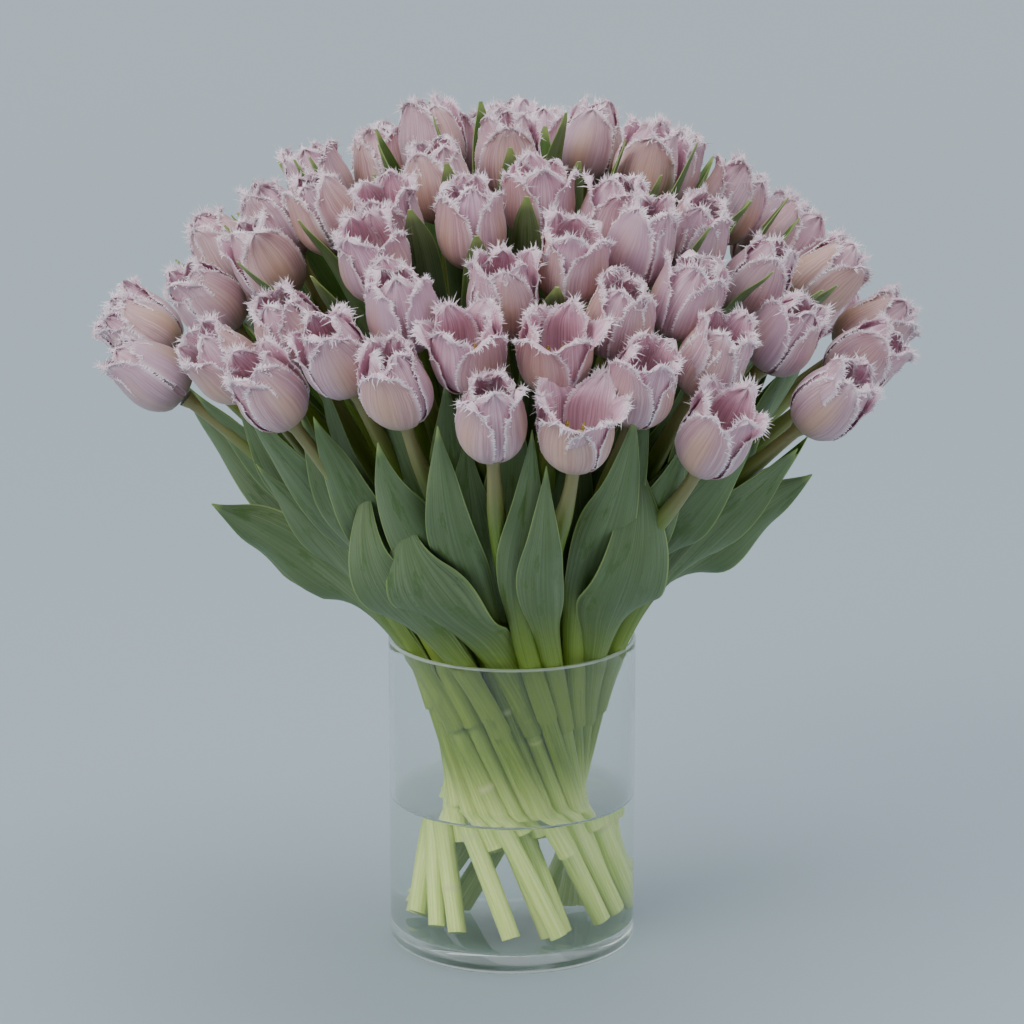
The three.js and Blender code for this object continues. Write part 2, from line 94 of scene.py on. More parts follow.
# Large outer leaves of the front: tip azimuth, tip radius, tip height, width, lean of the tip, roll of the blade.
FRONT_LEAVES = [
    (-74, 184, 290, 50, 70, 58), (-59, 172, 323, 30, 50, 30), (-31, 160, 322, 40, 15, 10), (-22, 160, 310, 56, 26, 0),
    (5, 208, 352, 28, 16, 8), (18, 216, 382, 34, 24, -10), (24, 174, 342, 50, 12, -10), (32, 176, 346, 32, 40, -30),
    (52, 180, 344, 38, 48, -40), (64, 184, 328, 38, 56, -50), (78, 181, 305, 50, 62, -62),
    (-84, 196, 356, 42, 40, 62), (-62, 180, 362, 36, 38, 45), (-40, 184, 364, 38, 36, 30), (-9, 166, 356, 36, 26, 10),
]
# Leaves that lie over the stems under the front blooms, in the same order of numbers.
COVER_LEAVES = [
    (-66, 200, 364, 28, 44, 50), (-45, 212, 372, 31, 40, 34), (-32, 208, 372, 32, 34, 26),
    (-21, 206, 362, 36, 24, 16), (-11, 212, 376, 30, 16, 8), (3, 208, 372, 25, 10, 0), (22, 200, 380, 28, 22, -14),
    (28, 206, 366, 28, 24, -20), (37, 176, 398, 29, 26, -20), (38, 220, 362, 38, 42, -34),
    (49, 214, 344, 36, 46, -42),
]
# How far the middle of a blade stands off its stem. The numbers are leaves that lie over their neighbours.
LIFT = Values(front=9, cover=4, skirt=6, proud=17, proud_rows=(2, 3, 6))
# Every other leaf of the back stands higher and leans less.
BACK_LEAVES = Values(count=12, first=98, last=262, radius=178, height=319, width=40, lean=48, roll=45,
                     high_more=40, high_less_lean=12)
SKIRT_LEAF = Values(count=30, tilts=(46, 52, 58), reach=248, apart=34, clear=29, width=(33, 7),
                    lean=(26, 10), roll=30, root=(164, 16))

CAMERA = Values(away=2500, height=930, down=14.8, lens=151.1, sensor=36, farthest=50)
# In metres. Lamps: name, place, size, power, colour.
FLOOR = Values(radius=9.0, drop=0.0002, sides=96)
LAMP_TARGET = array([0, 0, 0.3])
LAMPS = [
    ("window_left", (-1.9, -1.5, 2.1), 1.8, 54, (1.0, 0.985, 0.96)),
    ("sky_above", (0.3, 0.4, 2.6), 2.2, 34, (0.97, 0.98, 1.0)),
    ("fill_right", (2.2, -1.2, 1.2), 1.6, 12, (0.96, 0.97, 1.0)),
]

# --- small sums


def heading(azimuth, tilt):
    """The unit vector that leans from upright towards an azimuth: (sin a sin t, -cos a sin t, cos t)."""
    a, t = radians(azimuth), radians(tilt)
    return array([sin(a) * sin(t), -cos(a) * sin(t), cos(t)])


def stray(n):
    """A fixed stray value from -1 to 1 for each number n, from the fraction of a large sine."""
    s = sin(n * 12.9898 + 4.1) * 43758.5453
    return float(2 * (s - np.floor(s)) - 1)


def near(value, span, n):
    """A value moved by a stray share of a span."""
    return value + span * stray(n)


def beside(*parts):
    """Rows of numbers set side by side, as points."""
    return np.stack(parts, axis=-1)


def unit(vectors):
    return vectors / maximum(np.linalg.norm(vectors, axis=-1, keepdims=True), 1e-12)


def smooth(x, low, high):
    """0 below low, 1 above high, and 3t^2 - 2t^3 between."""
    t = clip((x - low) / (high - low), 0, 1)
    return t * t * (3 - 2 * t)


def through(knots, heights, x):
    """A soft curve through given heights: cubic Hermite pieces whose slopes are central differences."""
    knots, heights = np.asarray(knots, float), np.asarray(heights, float)
    slopes = np.gradient(heights, knots)
    i = clip(np.searchsorted(knots, x) - 1, 0, len(knots) - 2)
    step = knots[i + 1] - knots[i]
    t = (x - knots[i]) / step
    return (
        heights[i] * (1 + 2 * t) * (1 - t) ** 2
        + heights[i + 1] * t * t * (3 - 2 * t)
        + step * slopes[i] * t * (1 - t) ** 2
        - step * slopes[i + 1] * t * t * (1 - t)
    )


def bezier(a, b, c, d, t):
    """Points and unit tangents of a cubic with the ends a and d and the handles b and c."""
    t = np.asarray(t, float)[:, None]
    s = 1 - t
    points = s ** 3 * a + 3 * s * s * t * b + 3 * s * t * t * c + t ** 3 * d
    slopes = s * s * (b - a) + 2 * s * t * (c - b) + t * t * (d - c)
    return points, unit(slopes)


def run_along(path):
    """The length of a path up to each of its points."""
    return concatenate([[0], np.cumsum(np.linalg.norm(np.diff(path, axis=0), axis=1))])


def turned_about(vectors, axes, angles):
    """Each vector turned about its own unit axis: v cos a + (k x v) sin a + k (k.v)(1 - cos a)."""
    c, s = cos(angles)[:, None], sin(angles)[:, None]
    dots = np.sum(axes * vectors, axis=1, keepdims=True)
    return vectors * c + cross(axes, vectors) * s + axes * dots * (1 - c)


def round_angles(sides):
    return linspace(0, 2 * pi, sides, endpoint=False)


# --- where the blooms and stems are


def bloom_axis(place, i):
    """The way that a bloom points: those of the front and back stand up, those of the sides lean out."""
    x, y, z = place
    tilt = math.degrees(math.acos(z / math.sqrt(x * x + y * y + z * z)))
    azimuth = math.degrees(math.atan2(x, -y))
    sideways = abs(math.sin(math.radians(azimuth)))
    lean = near(tilt * (LEAN.least + LEAN.side_more * sideways ** LEAN.power), LEAN.stray, i + 100)
    turn = near(LEAN.side_turn * math.sin(math.radians(2 * azimuth)), LEAN.turn_stray, i + 200)
    return [float(c) for c in heading(azimuth + turn, lean)]


def girth(spot, direction):
    """How far a bloom reaches from its middle in a direction: half its length and its belly, by Pythagoras."""
    along = sum(p * q for p, q in zip(spot.axis, direction))
    belly = BLOOM.belly + BLOOM.open_more * spot.opening
    return math.hypot(BLOOM.length / 2 * along, belly * math.sqrt(max(0.0, 1 - along * along)))


def spread_blooms(spots):
    """Pushes crowded blooms apart over the dome, and keeps each twin pressed to its neighbour."""
    far_off = BLOOM.length + BLOOM.clear + 2
    for _ in range(DOME.rounds):
        for i, spot in enumerate(spots):
            scale = spot.reach / math.sqrt(sum(c * c for c in spot.place))
            spot.place = [c * scale for c in spot.place]
            spot.axis = bloom_axis(spot.place, i)
        for (i, a), (j, b) in combinations(enumerate(spots), 2):
            between = [q - p for p, q in zip(a.place, b.place)]
            apart = math.sqrt(between[0] ** 2 + between[1] ** 2 + between[2] ** 2)
            twins = a.twin == j
            if apart > far_off and not twins:
                continue
            between = [c / apart for c in between]
            roomy = girth(a, between) + girth(b, between) + BLOOM.clear
            wanted = 2 * BLOOM.twin_reach if twins else max(roomy, apart)
            push = (wanted - apart) / 2
            a.place = [p - push * c for p, c in zip(a.place, between)]
            b.place = [q + push * c for q, c in zip(b.place, between)]


def placed_blooms():
    """Every bloom's base, axis and the way its first petal faces, laid out over the dome."""
    spots = []

    def add(node, direction, opening, twin):
        reach = near(DOME.radius, DOME.uneven, len(spots))
        place = (unit(direction) * reach).tolist()
        spots.append(Values(node=node, opening=opening, twin=twin, reach=reach, place=place))

    for i, (azimuth, tilt, opening) in enumerate(SINGLE_BLOOMS):
        add(f"bloom_{i + 1}", heading(azimuth, tilt), opening, -1)
    for i, (azimuth, tilt, bearing, opening) in enumerate(TWIN_BLOOMS):
        middle = heading(azimuth, tilt) * DOME.radius
        swing = math.radians(bearing)
        aside = heading(azimuth, tilt + 90) * math.cos(swing) + heading(azimuth + 90, 90) * math.sin(swing)
        first = len(spots)
        add(f"twin_blooms_{i + 1}", middle + BLOOM.twin_reach * aside, opening, first + 1)
        add(f"twin_blooms_{i + 1}", middle - BLOOM.twin_reach * aside, opening, first)
    spread_blooms(spots)

    for i, spot in enumerate(spots):
        spot.place, spot.axis = array(spot.place), array(spot.axis)
        spot.tilt = math.degrees(math.acos(spot.place[2] / np.linalg.norm(spot.place)))
        spot.azimuth = math.degrees(math.atan2(spot.place[0], -spot.place[1]))
        spot.length = BLOOM.length * near(1, BLOOM.length_stray, i + 300)
        spot.centre = spot.place + [0, 0, DOME.centre_height]
        spot.base = spot.centre - spot.axis * BLOOM.below * spot.length
    for i, spot in enumerate(spots):
        if spot.twin >= 0:
            facing = spots[spot.twin].place - spot.place
        else:
            facing = heading(near(spot.azimuth, BLOOM.turn_stray, i + 400), 90)
        sideways = unit(cross(spot.axis, facing))
        spot.turn = array([cross(sideways, spot.axis), sideways, spot.axis])
    return spots


def waist_spots(blooms):
    """Where each stem passes the waist: the dome's layout drawn small, turned back, then packed."""
    spots = []
    for bloom in blooms:
        half_tilt = math.radians(bloom.tilt / 2)
        out = WAIST.radius * math.sin(half_tilt) / math.sin(math.radians(WAIST.dome_tilt / 2))
        spots.append(complex(*heading(bloom.azimuth + WAIST.swirl, 90)[:2]) * out)
    for _ in range(WAIST.rounds):
        for i, j in combinations(range(len(spots)), 2):
            between = spots[j] - spots[i]
            apart = abs(between)
            if apart < WAIST.spacing:
                push = between * (WAIST.spacing - apart) / 2 / apart
                spots[i] -= push
                spots[j] += push
        spots = [spot * WAIST.squeeze for spot in spots]
    return array([[spot.real, spot.imag] for spot in spots])


def straight_point(waist, height):
    """A stem's middle at a height of its straight stretch, which turns round the axis as it rises."""
    turn = WAIST.twist * (height - WAIST.height)
    return array([waist[0] + turn * waist[1], waist[1] - turn * waist[0], height])


def straight_rise(waist, height):
    """A stem's middle at a height, and the way that the stem rises there."""
    point = straight_point(waist, height)
    return point, unit(straight_point(waist, height + 1) - point)


def stem_course(waist, bloom):
    """The foot, the end of the straight stretch, the ends and handles of the sweep, and how far out it stands."""
    top, rise = straight_rise(waist, SWEEP.start)
    dip = STEM.radius * math.sqrt(1 - rise[2] ** 2)
    foot = straight_point(waist, GLASS.floor + STEM.foot_gap + dip)
    neck = bloom.base - bloom.axis * STEM.neck_gap
    span = np.linalg.norm(neck - top)
    sweep = (top, top + rise * SWEEP.rise * span, neck - bloom.axis * SWEEP.droop * span, neck)
    return Values(foot=foot, top=top, sweep=sweep, out=float(np.linalg.norm(waist)))


def nearest_stem(blooms, tip, least_tilt):
    """The stem whose bloom lies nearest to a tip carries that leaf."""
    away = [np.linalg.norm(b.base - tip) if b.tilt >= least_tilt else np.inf for b in blooms]
    return int(np.argmin(away))


def leaf_plan(blooms, waists, tip, azimuth, lean, root_height, **more):
    """A leaf from its stem's straight stretch to a tip that leans towards an azimuth."""
    root, rise = straight_rise(waists[nearest_stem(blooms, tip, OUTER_LEAF.least_tilt)], root_height)
    return Values(root=root, rise=rise, tip=tip, reach=heading(azimuth, lean), **more)


def outer_leaf_plans(blooms, waists):
    """The large outer leaves: those read from the front, a ring behind, and those over the front stems."""
    rows = list(FRONT_LEAVES)
    spread = BACK_LEAVES.last - BACK_LEAVES.first
    for k in range(BACK_LEAVES.count):
        high = k % 2
        rows.append((
            BACK_LEAVES.first + spread * k / (BACK_LEAVES.count - 1),
            near(BACK_LEAVES.radius, 6, k + 500),
            near(BACK_LEAVES.height + BACK_LEAVES.high_more * high, -12, k + 510),
            near(BACK_LEAVES.width, 8, k + 520),
            near(BACK_LEAVES.lean - BACK_LEAVES.high_less_lean * high, 10, k + 530),
            BACK_LEAVES.roll * stray(k + 540),
        ))
    plans = []
    for k, (azimuth, radius, height, width, lean, roll) in enumerate(rows + COVER_LEAVES):
        tip = heading(azimuth, 90) * radius
        tip[2] = height
        lift = LIFT.proud if k in LIFT.proud_rows else LIFT.front if k < len(rows) else LIFT.cover
        root_height = near(*OUTER_LEAF.root, k + 600)
        plans.append(leaf_plan(blooms, waists, tip, azimuth, lean, root_height,
                               width=width, lift=lift, roll=roll, seed=k))
    return plans


def free_tips(blooms, leaf):
    """Leaf tips set one by one into the gaps between blooms, clear of every bloom and apart from each other."""
    centres = array([bloom.centre for bloom in blooms])
    tips = []
    for tilt in leaf.tilts:
        for azimuth in range(0, 360, 4):
            way = heading(azimuth, tilt)
            spot = array([0, 0, DOME.centre_height]) + way * leaf.reach
            free = np.linalg.norm(centres - spot, axis=1).min() > leaf.clear
            apart = all(np.linalg.norm(other[0] - spot) > leaf.apart for other in tips)
            if free and apart and len(tips) < leaf.count:
                tips.append((spot, way, azimuth))
    return tips


def skirt_leaf_plans(blooms, waists):
    """Leaves that stand up under the lowest blooms, all the way round."""
    plans = []
    for k, (tip, _, azimuth) in enumerate(free_tips(blooms, SKIRT_LEAF)):
        lean = near(*SKIRT_LEAF.lean, k + 590)
        root_height = near(*SKIRT_LEAF.root, k + 620)
        width = near(*SKIRT_LEAF.width, k + 580)
        plans.append(leaf_plan(blooms, waists, tip, azimuth, lean, root_height, width=width,
                               lift=LIFT.skirt, roll=SKIRT_LEAF.roll * stray(k + 595), seed=k + 140))
    return plans


def gap_leaf_plans(blooms, courses):
    """Slim leaves whose tips stand in the gaps between the blooms."""
    plans = []
    share = (GAP_LEAF.root_share - SWEEP.share) / (1 - SWEEP.share)
    for k, (tip, way, _) in enumerate(free_tips(blooms, GAP_LEAF)):
        root, rise = bezier(*courses[nearest_stem(blooms, tip, 0)].sweep, [share])
        tip = tip + way * GAP_LEAF.beyond * near(*GAP_LEAF.beyond_share, k + 640)
        plans.append(Values(root=root[0], rise=rise[0], tip=tip, reach=way, width=GAP_LEAF.width,
                            lift=0, roll=GAP_LEAF.roll * stray(k + 650), seed=k + 80))
    return plans


# --- meshes from whole arrays

SHARP_ANGLE = 52
SKEW = (0.31, 0.95, 0.05)  # a way that no rod runs


def closed_sheet(front, back):
    """A thin closed shell: a grid of points, the same grid for its other face, and a strip round the rim."""
    rows, columns = front.shape[:2]
    index = arange(rows * columns).reshape(rows, columns)
    face = beside(index[:-1, :-1], index[:-1, 1:], index[1:, 1:], index[1:, :-1]).reshape(-1, 4)
    rim = concatenate([index[0, :-1], index[:-1, -1], index[-1, :0:-1], index[:0:-1, 0]])
    after = np.roll(rim, -1)
    shift = rows * columns
    strip = beside(after, rim, rim + shift, after + shift)
    points = concatenate([front.reshape(-1, 3), back.reshape(-1, 3)])
    return points, concatenate([face, face[:, ::-1] + shift, strip])


def thickened(face, thick, out, share):
    """A closed sheet from a grid: a share of the thickness lies in front of it, and the rest behind.

    The grid's normals come from central differences and are turned to the way that its middle faces.
    """
    normals = unit(cross(np.gradient(face, axis=1), np.gradient(face, axis=0)))
    middle = (face.shape[0] - 1) // 2, (face.shape[1] - 1) // 2
    shift = normals * np.sign(np.sum(normals[middle] * out(middle))) * thick[..., None]
    return closed_sheet(face + shift * share, face - shift * (1 - share))


def both_faces(u, v):
    """The numbers for the material on both faces of a sheet: across, along, and 1 on the inside."""
    return dict(across=tile(u.ravel(), 2), along=tile(v.ravel(), 2), inside=repeat([0.0, 1.0], u.size))


def round_rod(points, radii, sides):
    """A round rod along a path: rings square to the path, closed by a point at each end."""
    slopes = unit(np.gradient(points, axis=0))
    across = unit(cross(slopes, SKEW))
    ahead = cross(slopes, across)
    angles = round_angles(sides)[:, None]
    ring = cos(angles) * across[:, None] + sin(angles) * ahead[:, None]
    body = points[:, None] + ring * radii.reshape(len(points), -1, 1)
    return capped_rings(body, points[0], points[-1])


def capped_rings(rings, low_end, high_end):
    """Rings of points joined up the side, with a fan to one point at each end. Returns points, quads, triangles."""
    count, sides = rings.shape[:2]
    index = arange(count * sides).reshape(count, sides)
    after = np.roll(index, -1, axis=1)
    quads = beside(index[:-1], after[:-1], after[1:], index[1:]).reshape(-1, 4)
    low, high = count * sides, count * sides + 1
    fans = concatenate([beside(full(sides, low), after[0], index[0]),
                           beside(full(sides, high), index[-1], after[-1])])
    return concatenate([rings.reshape(-1, 3), [low_end, high_end]]), quads, fans


def lathe(profile, sides):
    """A profile of (radius, height), from the axis round to the axis again, turned about the upright axis."""
    profile = concatenate(profile).astype(float)
    angles = round_angles(sides)
    r, z = profile[1:-1, 0][:, None], profile[1:-1, 1][:, None]
    rings = beside(r * cos(angles), r * sin(angles), z + 0 * angles)
    return capped_rings(rings, [0, 0, profile[0, 1]], [0, 0, profile[-1, 1]])


def arc(x, z, radius, start, end, steps):
    """Points of (radius, height) round a quarter or half circle."""
    angles = radians(linspace(start, end, steps))
    return beside(x + radius * cos(angles), z + radius * sin(angles))


def line(start, end, steps):
    """Even points of (radius, height) from one to another."""
    return beside(*(linspace(a, b, steps) for a, b in zip(start, end)))


def in_scene(name, data):
    thing = bpy.data.objects.new(name, data)
    bpy.context.scene.collection.objects.link(thing)
    return thing


class Piece:
    """One visible piece in the making: shells of points and faces, and their numbers for the material."""

    def __init__(self, name):
        self.name, self.count = name, 0
        self.points, self.quads, self.triangles, self.notes = [], [], [], []
        self.quad_finish, self.triangle_finish = [], []

    def add(self, points, quads, triangles=zeros((0, 3), int), finish=0, **notes):
        """Adds closed shells, turned outwards if their volume comes out negative."""
        halves = concatenate([quads[:, [0, 1, 2]], quads[:, [0, 2, 3]], triangles])
        a, b, c = (points[halves[:, k]] for k in range(3))
        if np.sum(a * cross(b, c)) < 0:
            quads, triangles = quads[:, ::-1], triangles[:, ::-1]
        self.points.append(points)
        self.quads.append(quads + self.count)
        self.triangles.append(triangles + self.count)
        self.quad_finish.append(full(len(quads), finish))
        self.triangle_finish.append(full(len(triangles), finish))
        self.notes.append({key: np.broadcast_to(value, len(points)) for key, value in notes.items()})
        self.count += len(points)

    def finished(self, *materials):
        """The mesh object, with each note as a number on its points."""
        quads, triangles = concatenate(self.quads), concatenate(self.triangles)
        corners = concatenate([quads.ravel(), triangles.ravel()]).astype(np.int32)
        lengths = repeat([4, 3], [len(quads), len(triangles)])
        mesh = bpy.data.meshes.new(self.name)
        mesh.vertices.add(self.count)
        mesh.vertices.foreach_set("co", (concatenate(self.points) * MM).astype(np.float32).ravel())
        mesh.loops.add(len(corners))
        mesh.loops.foreach_set("vertex_index", corners)
        mesh.polygons.add(len(lengths))
        mesh.polygons.foreach_set("loop_start", (np.cumsum(lengths) - lengths).astype(np.int32))
        finishes = concatenate(self.quad_finish + self.triangle_finish).astype(np.int32)
        mesh.polygons.foreach_set("material_index", finishes)
        mesh.polygons.foreach_set("use_smooth", ones(len(lengths), bool))
        mesh.update(calc_edges=True)
        mesh.set_sharp_from_angle(angle=math.radians(SHARP_ANGLE))
        for key in self.notes[0]:
            note = mesh.attributes.new(key, "FLOAT", "POINT")
            values = concatenate([shell.get(key, zeros(len(p))) for shell, p in zip(self.notes, self.points)])
            note.data.foreach_set("value", values.astype(np.float32))
        for material in materials:
            mesh.materials.append(material)
        return in_scene(self.name, mesh)


# --- petals

PETAL = Values(rows=25, columns=17, size=0.93, thick=1.0, rim=0.4)
PETAL_KNOTS = (0, 0.12, 0.3, 0.55, 0.8, 1)
PETAL_HEIGHT = (0.02, 0.05, 0.19, 0.44, 0.74, 0.97)
OUTER_PROFILE = ((3.2, 10.2, 16.6, 19.2, 14.6, 7.5), (0, 0.2, 0.6, 1, 5, 12.5))
INNER_PROFILE = ((2.9, 9.0, 15.0, 17.5, 11.8, 3.2), (0, 0.2, 0.5, 1, 5, 12.5))
WIDTH_KNOTS = (0, 0.12, 0.3, 0.5, 0.68, 0.82, 0.92, 0.98, 1)
OUTER_WIDTH = (4.5, 9.4, 15.8, 19.4, 18.6, 14.5, 9.0, 3.9, 0.9)
INNER_WIDTH = (3.8, 7.6, 13.0, 16.4, 16.4, 13.2, 8.0, 3.4, 0.9)
# How far a loose petal stands off at each height. Some stand off much more.
LOOSE = Values(by_height=(0, 0, 0.05, 0.2, 0.6, 1.3), stray=1.2, chance=0.3, more=4.5)
# Departures from the plain cup: sizes in millimetres or shares, waves in radians over the height or the breadth.
FACE = Values(upper_from=0.4, inner_upper=0.22, wobble=0.035, wobbles=52, crease_width=0.11, buckle=0.4,
              buckles_across=3.1, buckles_along=6, ruffles_along=34, ruffles_across=6, top_from=0.74,
              top_wave=0.9, top_waves=9.5, curl_from=0.72)
FRINGE = Values(teeth=104, outer_strands=58, inner_strands=96, lowest=0.34, inset=2.6, tooth_inset=0.2, steps=80,
                strand_length=1.6, top_more=3.0, strand_spread=0.5, tooth_spread=0.2)
# Levels of a spike: share of its length, breadth against the root's, and how pale it is there.
TOOTH = ((-0.12, 1.0, 0.4),)
STRAND = ((-0.12, 1.0, 0.4), (0.5, 0.62, 0.8))


def petal_face(bloom, petal, across, along):
    """The outer face of one petal, in millimetres in the bloom's own frame, root at the bottom.

    A profile of radius over height is carried round the axis. Each cross-section is an arc a little flatter than
    the cup. A crease runs up the middle, the face buckles softly, and the upper margins flare and ruffle.
    """
    radius = through(PETAL_KNOTS, petal.profile, along)
    height = through(PETAL_KNOTS, PETAL_HEIGHT, along) * bloom.length * PETAL.size * petal.tall
    upper = smooth(along, FACE.upper_from + FACE.inner_upper * petal.inner, 1)
    wobble = 1 + FACE.wobble * upper * sin(FACE.wobbles * along + petal.phase)
    half = through(WIDTH_KNOTS, petal.breadth, along) * petal.wide * wobble
    bend = maximum(radius * petal.flat, petal.least_bend)
    angle = across * half / bend
    edge = np.abs(across)
    out = radius - bend + bend * cos(angle)
    crease = petal.crease * exp(-(across / FACE.crease_width) ** 2)
    out = out - crease * smooth(along, 0.08, 0.4) * smooth(1 - along, 0, 0.1)
    buckle = FACE.buckle * sin(FACE.buckles_across * across + petal.phase)
    out = out + buckle * sin(FACE.buckles_along * along + 2 * petal.phase)
    waves = upper * edge ** 3 * sin(FACE.ruffles_along * along + FACE.ruffles_across * across + petal.phase)
    top = FACE.top_wave * smooth(along, FACE.top_from, 1)
    waves = waves + top * sin(FACE.top_waves * across + 3 * petal.phase)
    out = out + petal.ruffle * waves + petal.flare * upper * edge ** 3
    out = out + petal.curl * smooth(along, FACE.curl_from, 1) ** 2
    side = bend * sin(angle) + petal.sway * upper
    turn = radians(petal.angle)
    return beside(out * cos(turn) - side * sin(turn), out * sin(turn) + side * cos(turn), height)


def spikes(levels, roots, ways, flats, thins, lengths, widths, bends):
    """Thin tapered spikes: a diamond at each level, pushed aside by the bend, and a point."""
    parts = []
    for share, size, _ in levels:
        middle = roots + ways * (share * lengths)[:, None] + bends * (share * share * lengths)[:, None]
        for flat, thin in ((1, 0), (0, 0.5), (-1, 0), (0, -0.5)):
            parts.append(middle + (flats * flat + thins * thin) * (widths * size / 2)[:, None])
    parts.append(roots + ways * lengths[:, None] + bends * lengths[:, None])
    point = len(parts) - 1
    first = len(parts) * arange(len(roots))[:, None, None]
    edges = ((0, 1), (1, 2), (2, 3), (3, 0))
    sides = [[low + a, low + b, low + b + 4, low + a + 4] for low in range(0, point - 4, 4) for a, b in edges]
    quads = (first + array(sides + [[3, 2, 1, 0]])).reshape(-1, 4)
    tops = (first + array([[point - 4 + a, point - 4 + b, point] for a, b in edges])).reshape(-1, 3)
    return np.stack(parts, axis=1).reshape(-1, 3), quads, tops


def fringe_of(bloom, petal, chance):
    """Crystals along the upper margins: short teeth all the way round and long bent strands towards the top.

    Roots are spaced by the margin's own length, the strands crowding towards its middle, which is the petal's tip.
    """
    draw = chance.uniform
    v = linspace(FRINGE.lowest, 1, FRINGE.steps)
    edge_v = concatenate([v, v[::-1]])
    edge_u = repeat([-1.0, 1.0], FRINGE.steps)
    rim = petal_face(bloom, petal, edge_u, edge_v)
    inward = petal_face(bloom, petal, edge_u * 0.86, maximum(edge_v - 0.03, 0)) - rim
    run = run_along(rim)
    middle = run[-1] / 2

    teeth = FRINGE.teeth
    strands = FRINGE.inner_strands if petal.inner else FRINGE.outer_strands
    count = teeth + strands
    even = (arange(teeth) + 0.5 + draw(-0.4, 0.4, teeth)) / teeth * run[-1]
    crowded = middle + middle * petal.strand_reach * chance.triangular(-1, 0, 1, strands)
    at = concatenate([even, crowded])
    long = arange(count) >= teeth

    def on_rim(values):
        return beside(*(np.interp(at, run, row) for row in values.T))

    roots, into = on_rim(rim), unit(on_rim(inward))
    along_rim = unit(on_rim(np.gradient(rim, axis=0)))
    thin = unit(cross(along_rim, into))
    out = unit(cross(thin, along_rim))
    out = out * -np.sign(np.sum(out * into, axis=1, keepdims=True))
    top = 1 - np.abs(at - middle) / middle
    inset = where(long, draw(0, 1, count) ** 1.5 * FRINGE.inset, FRINGE.tooth_inset)
    tooth = draw(0.9, 1.7, count) + 0.5 * top
    strand = (FRINGE.strand_length + FRINGE.top_more * top) * draw(0.55, 1.25, count)
    spread = where(long, FRINGE.strand_spread, FRINGE.tooth_spread)
    to_axis = -np.sign(np.sum(thin[:, :2] * roots[:, :2], axis=1))
    lean, swing = chance.normal(0, 1, count), chance.normal(0, 0.3, count)
    if petal.inner:
        lean, swing = np.abs(lean) * to_axis, np.abs(swing) * to_axis
    ways = unit(out + along_rim * (spread * chance.normal(0, 1, count))[:, None] + thin * (spread * lean)[:, None])
    bends = along_rim * chance.normal(0, 0.3, count)[:, None] + thin * swing[:, None]
    widths = where(long, draw(0.55, 1.15, count), draw(1.0, 1.9, count))
    starts, height = roots - out * inset[:, None], np.interp(at, run, edge_v)
    lengths = where(long, strand, tooth) + inset
    parts = (starts, ways, along_rim, thin, lengths, widths, bends * long[:, None])
    for rows, levels in ((~long, TOOTH), (long, STRAND)):
        pale = np.append(repeat([level[2] for level in levels], 4), 1.0)
        notes = dict(across=1.0, along=repeat(height[rows], len(pale)),
                     crystal=tile(pale, np.count_nonzero(rows)))
        yield spikes(levels, *(part[rows] for part in parts)), notes


def petals_of(bloom, number, chance):
    """The six petals of a bloom, three outer and three inner in turn, each a little different."""
    draw, opening = chance.uniform, bloom.opening
    for k in range(6):
        outer = k % 2 == 0
        start, opened = OUTER_PROFILE if outer else INNER_PROFILE
        stands_off = LOOSE.more if draw() < LOOSE.chance else 0
        loose = (draw(-LOOSE.stray, LOOSE.stray) + stands_off) * array(LOOSE.by_height)
        yield Values(
            angle=60 * k + draw(-6, 6),
            profile=tuple(array(start) + opening * array(opened) + loose),
            breadth=OUTER_WIDTH if outer else INNER_WIDTH,
            least_bend=9.5 if outer else 7.5,
            tall=(0.92 if outer else 0.975) + draw(-0.04, 0.03),
            wide=draw(0.93, 1.05),
            flat=draw(0.97, 1.09),
            phase=draw(0, 2 * pi),
            flare=draw(-0.5, 2.3) + 1.6 * opening,
            curl=draw(-0.8, 2.6) + 2.0 * opening ** 2,
            sway=draw(-1.8, 1.8),
            crease=0.35 if outer else 1.0,
            ruffle=draw(0.7, 1.3) if outer else draw(1.2, 2.0),
            strand_reach=draw(0.5, 0.8) if outer else 0.9,
            stripe=draw(0.35, 1) if outer else draw(0, 0.35),
            tone=draw(-1, 1) * 0.5 + 0.5 * stray(number + 700),
            inner=0 if outer else 1,
        )


def into_world(bloom, points):
    """Points of a bloom's own frame, set on its axis and base."""
    return points @ bloom.turn + bloom.base


def add_petals(piece, bloom, number, chance):
    """Each petal as a closed sheet, thinner towards its margins and tip, and its fringe."""
    x = linspace(-1, 1, PETAL.columns)
    u, v = np.meshgrid(np.sign(x) * (1 - (1 - np.abs(x)) ** 1.5), sin(linspace(0, pi / 2, PETAL.rows)))
    thick = PETAL.rim + (PETAL.thick - PETAL.rim) * (1 - v) * (1 - 0.6 * u * u)
    for petal in petals_of(bloom, number, chance):
        face = petal_face(bloom, petal, u, v)
        points, quads = thickened(face, thick, lambda middle: face[middle] * [1, 1, 0], 0)
        fixed = dict(stripe=petal.stripe, tone=petal.tone, inner=petal.inner)
        piece.add(into_world(bloom, points), quads, **both_faces(u, v), crystal=0, **fixed)
        for (points, quads, tops), notes in fringe_of(bloom, petal, chance):
            piece.add(into_world(bloom, points), quads, tops, inside=0, **notes, **fixed)


# A girth is a row of shares of the height and the radius at each. Lengths are from the bloom's root.
PISTIL = Values(foot=2.5, height=21, girth=((0, 0.3, 0.75, 0.88, 1), (2.4, 3.1, 2.6, 4.6, 2.2)), sides=12, top=24)
STAMEN = Values(count=6, foot=3, ring=5.5, filament=12, anther=10, sides=6,
                girth=((0, 0.45, 0.56, 0.75, 0.94, 1), (0.9, 0.7, 1.25, 1.5, 1.1, 0.4)))


